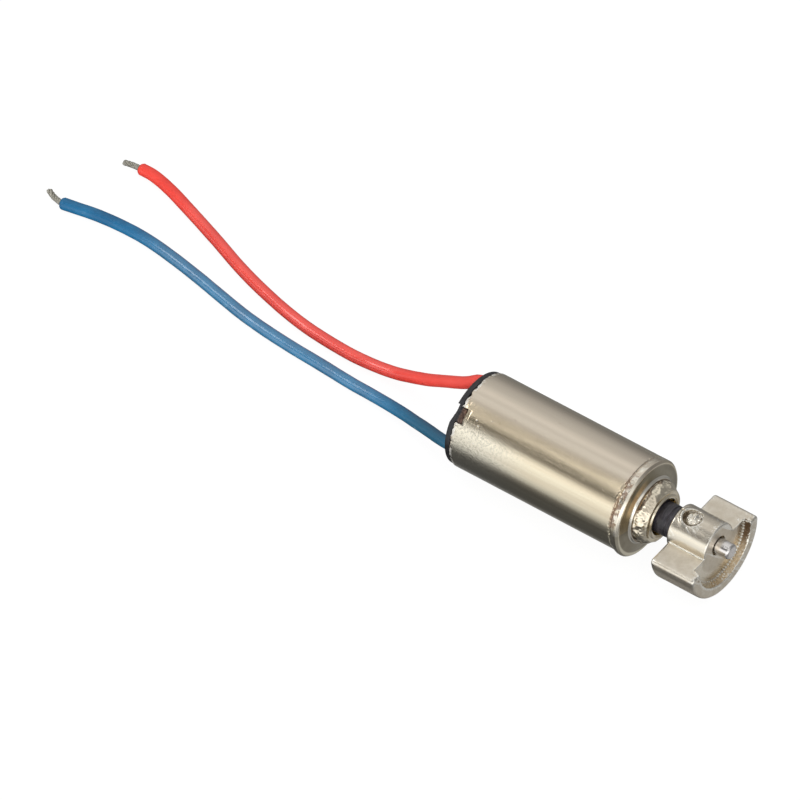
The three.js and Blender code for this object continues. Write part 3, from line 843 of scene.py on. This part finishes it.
def stains(surface, base, along, clock, neck):
    """Brown staining at the rear rim, in the shoulder's crease and on the neck, and a chipped rim."""
    blots = surface.noise(0.3, 4, 0.65)
    torn = (clock - TORN_CLOCK).math("COSINE").span(0.6, 0.98)
    rear = along.span(CAN_REAR, CAN_REAR + 0.3, 1, 0) * 0.8
    zone = largest(rear, along.near(CREASE + 0.16, 0.2, 0.08) * torn, neck * 0.25)
    patch = zone * (blots + torn * 0.14).span(0.56, 0.68)
    rim = along.span(CAN_REAR + 0.02, CAN_REAR + 0.05, 1, 0)
    patch = largest(patch, rim * blots.span(0.42, 0.5))
    base = (patch * 0.75).mix(base, (0.27, 0.14, 0.085))
    chipped = along.near(CAN_REAR + 0.1, 0.05, 0.08) * surface.noise(0.42, 4, 0.65).span(0.46, 0.54)
    return chipped.mix(base, (1.0, 0.97, 0.9)), patch, chipped


def scratches_and_spots(surface, base, along, clock):
    """A few bright scratches on the near side behind the notch, and scattered dark spots."""
    scratch = surface.cells(0.34, stretch=(0.7, 1, 1.6)).span(0.06, 0.19, 1, 0)
    scratch *= along.span(-11.5, -8.0, 1, 0)
    scratch *= surface.noise(0.8, 2, 0.55).span(0.5, 0.6)
    scratch *= clock.near(SCRATCH_CLOCK, 0.22, 0.2)
    base = scratch.mix(base, (1.0, 0.98, 0.92))
    spots = surface.cells(1.3).span(0.02, 0.045, 1, 0)
    return (spots * 0.7).mix(base, (0.3, 0.2, 0.12)), scratch


def nickel():
    surface = Surface("nickel_can", Metallic=1.0)
    along = surface.along()
    reach, clock = surface.radial()
    streaks = surface.noise(0.55, 5, 0.6, stretch=(0.03, 1, 1))
    hairs = surface.noise(0.09, stretch=(0.05, 1, 1))
    grain = surface.noise(0.12)
    base = plating_with_painted_reflections(clock, streaks)
    base, face = front_metal(surface, base, along, reach, clock)
    base, polished, neck = neck_metal(base, along, reach)
    base, peel = orange_peel(surface, base, along, clock)
    base, patch, chipped = stains(surface, base, along, clock, neck)
    base, scratch = scratches_and_spots(surface, base, along, clock)
    rough = (patch * 0.7).blend(streaks.span(0.25, 0.75, 0.15, 0.25), 0.55)
    rough = polished.blend(largest(rough, face * 0.3), 0.14)
    rough = largest(chipped, scratch).blend(rough, 0.55) + grain.span(0.4, 0.8, 0.0, 0.06)
    layers = (streaks, 2.6), (hairs, 1.0), (grain, 0.9), (scratch, 6), (peel, 4)
    return surface.complete(base, rough, *layers)


NICKEL = nickel()
NICKEL.dress(make_can())

# ---- End cap ----

CAP_REAR, CAP_FRONT = span("end_cap")
CAP_RADIUS = 2.93
CAP_FLOOR = CAP_REAR + 1.13
CAP_PLUG = CAN_BORE - 0.02
LEAD_CLOCK = 44.0
LEAD_OFFSET = 2.08
THUMB_LOW = -0.62
THUMB_HIGH = 0.55
THUMB_SLANT = 0.26  # how much shallower the thumb notch is at its low side
FLARED_HOLE = 0.55
LEAD_HOLE = 0.43
CORE_HOLE = 0.23


def cap_hole(side):
    """A lead hole to cut out: flared behind, and stepped down to the conductor inside."""
    step = CAP_REAR + 0.52
    hole = turned("lead_hole", (
        (CAP_REAR - 1, 0), (CAP_REAR - 1, FLARED_HOLE), (CAP_REAR, FLARED_HOLE),
        (CAP_REAR + FLARED_HOLE - LEAD_HOLE, LEAD_HOLE), (step, LEAD_HOLE), (step, CORE_HOLE),
        (CAP_FLOOR + 1, CORE_HOLE), (CAP_FLOOR + 1, 0),
    ), 32, closed=False)
    hole.transform(Matrix.Translation((0, side * LEAD_OFFSET, 0)))
    return turned_to(hole, LEAD_CLOCK)


def make_cap():
    """The moulded end cap: a plug with a key, a thumb notch, lead holes and a shallow dish behind."""
    body = turned("cap", rounded([
        (CAP_REAR + 0.07, 0, 0), (CAP_REAR + 0.07, 1.1, 0.03), (CAP_REAR, 1.2, 0.03),
        (CAP_REAR, CAP_RADIUS, 0.09), (CAN_REAR - 0.03, CAP_RADIUS, 0.03),
        (CAN_REAR - 0.03, CAP_PLUG, 0), (CAP_FRONT, CAP_PLUG, 0.06), (CAP_FRONT, CAP_PLUG - 0.32, 0.06),
        (CAP_FLOOR, CAP_PLUG - 0.32, 0.08), (CAP_FLOOR, 0, 0),
    ], 4), 128, closed=False)
    inner = CAN_BORE - 0.2
    key = block("key", (CAN_REAR - 0.12, -0.43, inner), (NOTCH_FRONT - 0.08, 0.43, CAP_RADIUS - 0.04))
    rib_low = block("rib", (CAN_REAR - 0.1, -0.12, inner), (NOTCH_FRONT - 0.12, -0.02, CAP_RADIUS + 0.02))
    rib_high = block("rib", (CAN_REAR - 0.1, 0.2, inner), (NOTCH_FRONT - 0.1, 0.28, CAP_RADIUS + 0.02))
    thumb_low, thumb_high = (CAP_REAR - 0.5, THUMB_LOW, 2.5), (CAP_REAR + 0.3, THUMB_HIGH, 3.6)
    thumb = ragged_cutter("thumb_notch", thumb_low, thumb_high, 8, 0.03)
    slant = THUMB_SLANT / (THUMB_HIGH - THUMB_LOW)
    shaped(thumb, lambda place: place - Vector((slant * (THUMB_HIGH - place.y), 0, 0)))
    for tool in (key, rib_low, rib_high, thumb):
        turned_to(tool, NOTCH_CLOCK - 90)
    mesh = combined(
        body, ("UNION", key), ("UNION", rib_low), ("UNION", rib_high), ("DIFFERENCE", thumb),
        ("DIFFERENCE", cap_hole(1)), ("DIFFERENCE", cap_hole(-1)),
    )
    return new_piece("end_cap_moulding", edged(mesh, 0.03, 2), "stator", "black_plastic", "end_cap")


def cap_plastic():
    """Black moulding, stained brown where its key fills the can's notch."""
    surface = Surface("cap_plastic", Specular_IOR_Level=0.5)
    grain = surface.noise(0.11)
    clouds = surface.noise(0.8)
    clock = surface.radial()[1]
    base = clouds.span(0.3, 0.7).mix((0.012, 0.012, 0.014), (0.03, 0.03, 0.033))
    brown = surface.noise(0.2, 4, 0.65).span(0.35, 0.7).mix((0.06, 0.03, 0.018), (0.26, 0.15, 0.10))
    notch = clock.near(math.radians(NOTCH_CLOCK), 0.17, 0.07)
    notch *= surface.along().span(CAN_REAR + 0.02, CAN_REAR + 0.2)
    base = notch.mix(base, brown)
    return surface.complete(base, grain.span(0.3, 0.7, 0.34, 0.52), (grain, 3), (clouds, 8))


cap_plastic().dress(make_cap())

# ---- Shaft and its collar ----

SHAFT_REAR, SHAFT_TIP = span("shaft")
SHAFT_RADIUS = radius("shaft")


def make_shaft():
    """A ground shaft with a turned-down, polished tip."""
    profile = resampled(rounded([
        (SHAFT_REAR, 0, 0), (SHAFT_REAR, SHAFT_RADIUS - 0.1, 0.04), (SHAFT_REAR + 0.1, SHAFT_RADIUS, 0.05),
        (SHAFT_TIP, SHAFT_RADIUS, 0.2), (SHAFT_TIP, 0, 0),
    ], 16), 0.06)
    mesh = turned("shaft", profile, 128, closed=False)
    return new_piece("shaft_ground", mesh, "rotor", "shaft_steel", "shaft")


def shaft_steel():
    surface = Surface("shaft_steel", Metallic=1.0)
    grinding = surface.noise(0.04, stretch=(1, 0.06, 0.06))
    scratches = surface.noise(0.12, 4, 0.6, stretch=(0.2, 1, 1))
    color = scratches.span(0.3, 0.7).mix((0.78, 0.74, 0.72), (0.95, 0.92, 0.89))
    return surface.complete(color, scratches.span(0.3, 0.8, 0.14, 0.28), (grinding, 0.5), (scratches, 1.2))


SPACER_REAR, SPACER_FRONT = span("shaft_spacer")
SPACER_RADIUS = radius("shaft_spacer")
SPACER_BORE = SHAFT_RADIUS + 0.015
GROOVE = SPACER_REAR + 1.28


def make_spacer():
    """A moulded collar with a parting groove and soft edges."""
    profile = resampled(rounded([
        (SPACER_REAR, SPACER_BORE, 0), (SPACER_REAR, SPACER_RADIUS, 0.1),
        (GROOVE - 0.06, SPACER_RADIUS, 0.03), (GROOVE, SPACER_RADIUS - 0.06, 0.03),
        (GROOVE + 0.06, SPACER_RADIUS, 0.03), (SPACER_FRONT - 0.12, SPACER_RADIUS, 0.08),
        (SPACER_FRONT, SPACER_RADIUS - 0.14, 0.06), (SPACER_FRONT, SPACER_BORE, 0),
    ], 5), 0.1)
    mesh = turned("spacer", profile, 128)
    shaped(mesh, lambda place: place + Vector((0, place.y, place.z)) * 0.008 * ripple(place, 0.5, 7))
    return new_piece("shaft_collar", mesh, "rotor", "black_plastic", "shaft_spacer")


def collar_plastic():
    """Black moulding, with bright metal crumbs on its front edge, where it rubs on the weight."""
    surface = Surface("collar_plastic", Specular_IOR_Level=0.6)
    grain = surface.noise(0.09, 4, 0.6)
    rings = surface.noise(0.12, stretch=(1, 0.15, 0.15))
    base = rings.span(0.35, 0.7).mix((0.016, 0.014, 0.018), (0.055, 0.048, 0.058))
    crumbs = surface.cells(0.16).span(0.0, 0.22, 1, 0)
    crumbs *= surface.along().span(SPACER_FRONT - 0.22, SPACER_FRONT - 0.05)
    base = (crumbs * 0.7).mix(base, (0.75, 0.66, 0.48))
    layers = (surface.noise(0.35), 45), (rings, 6), (grain, 2.5)
    return surface.complete(base, grain.span(0.3, 0.7, 0.26, 0.42), *layers)


shaft_steel().dress(make_shaft())
collar_plastic().dress(make_spacer())

# ---- Eccentric weight ----

HUB_REAR, WEIGHT_FRONT = span("eccentric_weight")
WEIGHT_REAR = 2.35
HUB_FRONT = WEIGHT_FRONT - 0.49
HUB_RADIUS = 1.41
REST_TURN = 3.545  # how many degrees the weight leans as it rests
WEIGHT_RADIUS = AXIS.z / MM
WEIGHT_TOP = 0.03
WEIGHT_CORNER = 0.28
RECESS_RADIUS = 2.5
RECESS_FLOOR_RADIUS = 2.36
COUNTERBORE = 0.62
STAKE = Vector((3.18, 0.0, HUB_RADIUS))
STAKE_TILT = math.radians(6)
STAKE_RADIUS = 0.6
STAKE_DEPTH = 0.24
VOXEL = 0.032
TEETH = 74  # bright teeth in a full turn, where the recess's wall meets its floor


def half_disc(reach, top, corner):
    """The (y, z) outline of the lower part of a disc, cut flat at top, with two rounded corners."""
    along = math.sqrt((reach - corner) ** 2 - (top - corner) ** 2)
    lean = math.atan2(corner - top, along)
    points = []
    for step in range(97):
        angle = -math.pi + lean + (math.pi - 2 * lean) * step / 96
        points.append((reach * math.cos(angle), reach * math.sin(angle)))
    for side, first, last in ((1, -lean, math.pi / 2), (-1, math.pi / 2, math.pi + lean)):
        for step in range(1, 9):
            angle = first + (last - first) * step / 9
            height = top - corner + corner * math.sin(angle)
            points.append((side * along + corner * math.cos(angle), height))
    return points


def rod(name, rear, front, reach, sides=96):
    return turned(name, ((rear, 0), (rear, reach), (front, reach), (front, 0)), sides, closed=False)


def worn_weight(place):
    """Staking damage on the hub, burrs round the recess and the unevenness of a sintered surface."""
    place = Matrix.Rotation(-STAKE_TILT, 3, "X") @ place
    away = Vector((place.x - STAKE.x, place.y, 0))
    distance = away.length
    if place.z > 0.6 and distance < 1.2:
        left = max(0.0, -(away.x * 0.75 + away.y * 0.66) / max(distance, 1e-6))
        if distance < STAKE_RADIUS - 0.02:
            lump = math.exp(-((away - Vector((0.1, 0.08, 0))).length / 0.42) ** 2)
            place.z += 0.19 * lump + 0.1 * ripple(place, 0.2, 3) + 0.06 * ripple(place, 0.09, 8)
            place.z -= 0.2 * left * math.exp(-((distance - STAKE_RADIUS + 0.1) / 0.1) ** 2)
        rim = math.exp(-((distance - STAKE_RADIUS - 0.1) / 0.1) ** 2)
        place.z += 0.07 * rim * max(0.0, -away.x / max(distance, 1e-6))
        if place.x < STAKE.x - STAKE_RADIUS:
            wander = 0.07 * ripple(Vector((place.x, 0, 0)), 0.3, 2) + 0.16
            place.z -= 0.1 * math.exp(-((place.y - wander) / 0.04) ** 2)
    place = Matrix.Rotation(STAKE_TILT, 3, "X") @ place
    reach = math.hypot(place.y, place.z)
    if place.x > HUB_FRONT - 0.05 and abs(reach - RECESS_RADIUS) < 0.2:
        rough = 1.8 if place.y < 0 and place.z > -0.7 else 0.7
        place += Vector((0.03 * ripple(place, 0.13, 4), 0, 0.02 * ripple(place, 0.13, 7))) * rough
    return place + Vector((ripple(place, 0.6, 1), ripple(place, 0.6, 2), ripple(place, 0.6, 3))) * 0.005


def make_weight():
    wings = prism("wings", half_disc(WEIGHT_RADIUS, WEIGHT_TOP, WEIGHT_CORNER), WEIGHT_REAR, WEIGHT_FRONT)
    hub = rod("hub", HUB_REAR, HUB_FRONT, HUB_RADIUS, 128)
    stake = rod("stake", -1.0, 1.0, STAKE_RADIUS, 48)
    stake.transform(Matrix.Rotation(math.radians(-90), 4, "Y"))
    stake.transform(Matrix.Translation(STAKE + Vector((0, 0, 1 - STAKE_DEPTH))))
    stake.transform(Matrix.Rotation(STAKE_TILT, 4, "X"))
    mesh = combined(
        turned_to(edged(wings, 0.15), REST_TURN),
        ("UNION", edged(hub, 0.1)),
        ("DIFFERENCE", turned("recess", (
            (HUB_FRONT, 0), (HUB_FRONT, RECESS_FLOOR_RADIUS), (WEIGHT_FRONT, RECESS_RADIUS),
            (WEIGHT_FRONT + 1, RECESS_RADIUS), (WEIGHT_FRONT + 1, 0),
        ), 128, closed=False)),
        ("DIFFERENCE", rod("bore", HUB_REAR - 1, HUB_FRONT + 1, SHAFT_RADIUS + 0.015, 64)),
        ("DIFFERENCE", rod("counterbore", HUB_FRONT - 0.4, HUB_FRONT + 1, COUNTERBORE, 64)),
        ("DIFFERENCE", stake),
    )
    mesh = modified(mesh, "REMESH", mode="VOXEL", voxel_size=VOXEL, adaptivity=0.0)
    mesh = modified(mesh, "SMOOTH", factor=0.5, iterations=3)
    shaped(mesh, worn_weight)
    return new_piece("weight_sintered", mesh, "rotor", "tungsten_weight", "eccentric_weight")


def recess_metal(base, along, reach, clock, blots):
    """The recess: a brown wall, painted darker as shade except low on the near side, a floor painted paler
    as light, and bright teeth where the two meet.
    """
    wall = along.span(HUB_FRONT - 0.02, HUB_FRONT + 0.06)
    wall *= along.span(WEIGHT_FRONT - 0.02, WEIGHT_FRONT - 0.06)
    wall *= reach.span(RECESS_FLOOR_RADIUS, RECESS_FLOOR_RADIUS + 0.03)
    wall *= reach.span(RECESS_RADIUS + 0.04, RECESS_RADIUS + 0.01)
    # The wall is painted dark brown as shade, and tan low on the near side.
    brown = clock.span(-1.0, -0.3).mix((0.8, 0.64, 0.43), (0.17, 0.11, 0.065))
    base = wall.mix(base, brown)
    teeth = reach.near(RECESS_FLOOR_RADIUS, 0.035, 0.03) * along.near(HUB_FRONT + 0.03, 0.06, 0.04)
    teeth *= (clock * TEETH + blots * 5).math("SINE").span(-0.1, 0.4)
    # The floor is painted paler, as light that falls in the recess.
    floor = along.near(HUB_FRONT, 0.04, 0.04) * reach.span(HUB_RADIUS + 0.1, HUB_RADIUS + 0.4)
    floor *= reach.span(RECESS_FLOOR_RADIUS, RECESS_FLOOR_RADIUS - 0.05)
    return (floor * 0.8).mix(base, (1.0, 0.93, 0.78)), teeth, floor


def hub_metal(base, along, reach, clock, blots):
    """The hub is turned smooth; its colour is painted darker as shade near its top and paler as light on
    the near side.
    """
    smooth = reach.near(HUB_RADIUS, 0.05, 0.04) * along.span(HUB_FRONT - 0.02, HUB_FRONT - 0.05)
    hub = blots.span(0.3, 0.72).mix((0.7, 0.63, 0.52), (0.78, 0.71, 0.59))
    # Painted shade near the top of the hub, and painted light on its near side.
    hub = clock.near(math.radians(121), 0.12, 0.14).mix(hub, (0.57, 0.52, 0.43))
    hub = clock.span(math.radians(134), math.radians(142)).mix(hub, (0.8, 0.73, 0.6))
    hub = clock.near(math.radians(155), 0.15, 0.16).mix(hub, (0.86, 0.8, 0.67))
    return smooth.mix(base, hub), smooth


def stake_metal(base, along, reach, clock):
    """The staking mark is painted dark round its edge as shade, and bright where it was struck."""
    around = (clock - (math.pi / 2 + STAKE_TILT)) * HUB_RADIUS
    off = ((along - STAKE.x) ** 2 + around ** 2) ** 0.5
    # Painted shade round the edge of the staking mark.
    edge_shade = off.near(STAKE_RADIUS - 0.06, 0.055, 0.06) * reach.span(HUB_RADIUS - 0.03, HUB_RADIUS - 0.12)
    base = (edge_shade * 0.7).mix(base, (0.14, 0.1, 0.06))
    struck = off.span(STAKE_RADIUS - 0.14, STAKE_RADIUS - 0.2) * clock.math("SINE").span(0.6, 0.8)
    return (struck * 0.7).mix(base, (1.0, 0.95, 0.84))


def tungsten():
    surface = Surface("tungsten_weight", Metallic=1.0)
    along = surface.along()
    reach, clock = surface.radial()
    grain = surface.noise(0.06, 4, 0.65)
    blots = surface.noise(0.5, 4, 0.6)
    pits = surface.cells(0.13).span(0.0, 0.2, 1, 0) * surface.noise(0.4, 3, 0.55).span(0.52, 0.62)
    base = blots.span(0.3, 0.72).mix((0.78, 0.7, 0.57), (0.9, 0.83, 0.71))
    base = (pits * 0.4).mix(base, (0.4, 0.32, 0.23))
    base, teeth, floor = recess_metal(base, along, reach, clock, blots)
    base, smooth = hub_metal(base, along, reach, clock, blots)
    # The wings' upper corners are rubbed, and below each is a dull strip, painted pale as light.
    level = reach * (clock - math.radians(REST_TURN)).math("SINE")
    corner = reach.span(WEIGHT_RADIUS - 0.45, WEIGHT_RADIUS - 0.35)
    corner *= level.near(WEIGHT_TOP - 0.1, 0.12, 0.06)
    dull_strip_painted_light = reach.span(WEIGHT_RADIUS - 0.1, WEIGHT_RADIUS - 0.05) * level.near(-1.15, 0.3, 0.3)
    base = dull_strip_painted_light.mix(base, (0.9, 0.82, 0.7))
    base = stake_metal(base, along, reach, clock)
    # Edges are rubbed bright, a highlight is painted along the hub's root, hollows in the front are painted
    # dark as shade, and a few grains shine.
    sharp = surface.add("ShaderNodeNewGeometry", {}, "Pointiness")
    rubbed = sharp.span(0.507, 0.54)
    # Painted shade in the hollows at the front.
    hollow_shade = sharp.span(0.49, 0.45) * along.span(HUB_FRONT - 0.1, HUB_FRONT)
    base = hollow_shade.mix(base, (0.45, 0.37, 0.27))
    # A highlight painted along the hub's root, where it meets the wings.
    root_highlight = level.near(WEIGHT_TOP + 0.03, 0.03, 0.03) * reach.near(HUB_RADIUS, 0.06, 0.04)
    sparks = surface.cells(0.21, stretch=(1, 1.1, 0.9)).span(0.0, 0.12, 1, 0)
    sparks *= surface.noise(0.7, 2, 0.55, stretch=(1.2, 1, 1)).span(0.56, 0.64)
    sparks *= reach.span(HUB_RADIUS + 0.1, HUB_RADIUS + 0.2)
    base = largest(sparks, teeth, rubbed, root_highlight).mix(base, (1.0, 0.97, 0.88))
    rough = grain.span(0.3, 0.75, 0.38, 0.54)
    for mask, value in ((rubbed, 0.2), (smooth, 0.26), (corner, 0.3), (dull_strip_painted_light, 0.56), (floor, 0.26)):
        rough = mask.blend(rough, value)
    grain *= smooth.blend(1.0, 0.2)
    layers = (smooth.blend(blots, 0.5), 12), (grain, 6), (pits, -5), (teeth, 60)
    return surface.complete(base, rough, *layers)


tungsten().dress(make_weight())

# ---- Inner parts, carried over from the CAD ----


def inner_metal(name, dark, pale, size, roughness, depth, stretch=None):
    surface = Surface(name, Metallic=1.0)
    pattern = surface.noise(size, 4, 0.6, stretch=stretch)
    rough = pattern.span(0.3, 0.7, roughness - 0.08, roughness + 0.1)
    return surface.complete(pattern.span(0.3, 0.7).mix(dark, pale), rough, (pattern, depth))


def winding():
    """Enamelled copper wire, laid slantwise round the cup."""
    surface = Surface("copper_winding", Metallic=0.9)
    slant = surface.along() * 18.0 + surface.radial()[1] * 60.0
    turns = slant.math("SINE").span(-1, 1, kind="LINEAR")
    copper = surface.noise(0.6).span(0.3, 0.7).mix((0.52, 0.2, 0.075), (0.72, 0.33, 0.15))
    color = (turns * 0.55).mix((0.2, 0.07, 0.03), copper)
    return surface.complete(color, turns.span(0, 1, 0.5, 0.26), (turns, 25))


def cream_plastic():
    surface = Surface("cream_plastic", Specular_IOR_Level=0.5)
    clouds = surface.noise(0.5)
    grain = surface.noise(0.07)
    color = clouds.span(0.3, 0.7).mix((0.64, 0.56, 0.38), (0.74, 0.68, 0.5))
    return surface.complete(color, grain.span(0.3, 0.7, 0.42, 0.6), (clouds, 4), (grain, 3))


INNER_SURFACES = [
    (inner_metal("bearing_bronze", (0.3, 0.17, 0.07), (0.62, 0.4, 0.2), 0.06, 0.5, 6),
     ["front_bearing", "rear_bearing"]),
    (inner_metal("sleeve_brass", (0.6, 0.44, 0.17), (0.8, 0.64, 0.3), 0.1, 0.3, 2, (0.1, 1, 1)),
     ["bearing_sleeve"]),
    (inner_metal("contact_alloy", (0.66, 0.53, 0.27), (0.86, 0.75, 0.47), 0.12, 0.28, 2, (1, 0.2, 1)),
     ["terminal_positive", "terminal_negative", "brush_positive", "brush_negative",
      "commutator_segment_1", "commutator_segment_2", "commutator_segment_3"]),
    (inner_metal("magnet_nickel", (0.2, 0.2, 0.21), (0.38, 0.38, 0.4), 0.15, 0.4, 4),
     ["magnet"]),
    (inner_metal("solder", (0.5, 0.5, 0.51), (0.78, 0.78, 0.79), 0.14, 0.28, 5),
     ["solder_joint_positive", "solder_joint_negative"]),
    (winding(), ["coil"]),
    (cream_plastic(), ["coil_plate", "commutator_hub", "rear_thrust_washer", "front_thrust_washer"]),
    (TINNED, ["conductor_positive_in_cap", "conductor_negative_in_cap"]),
]
for surface, names in INNER_SURFACES:
    surface.dress(*(frame["nodes"][name] for name in names))
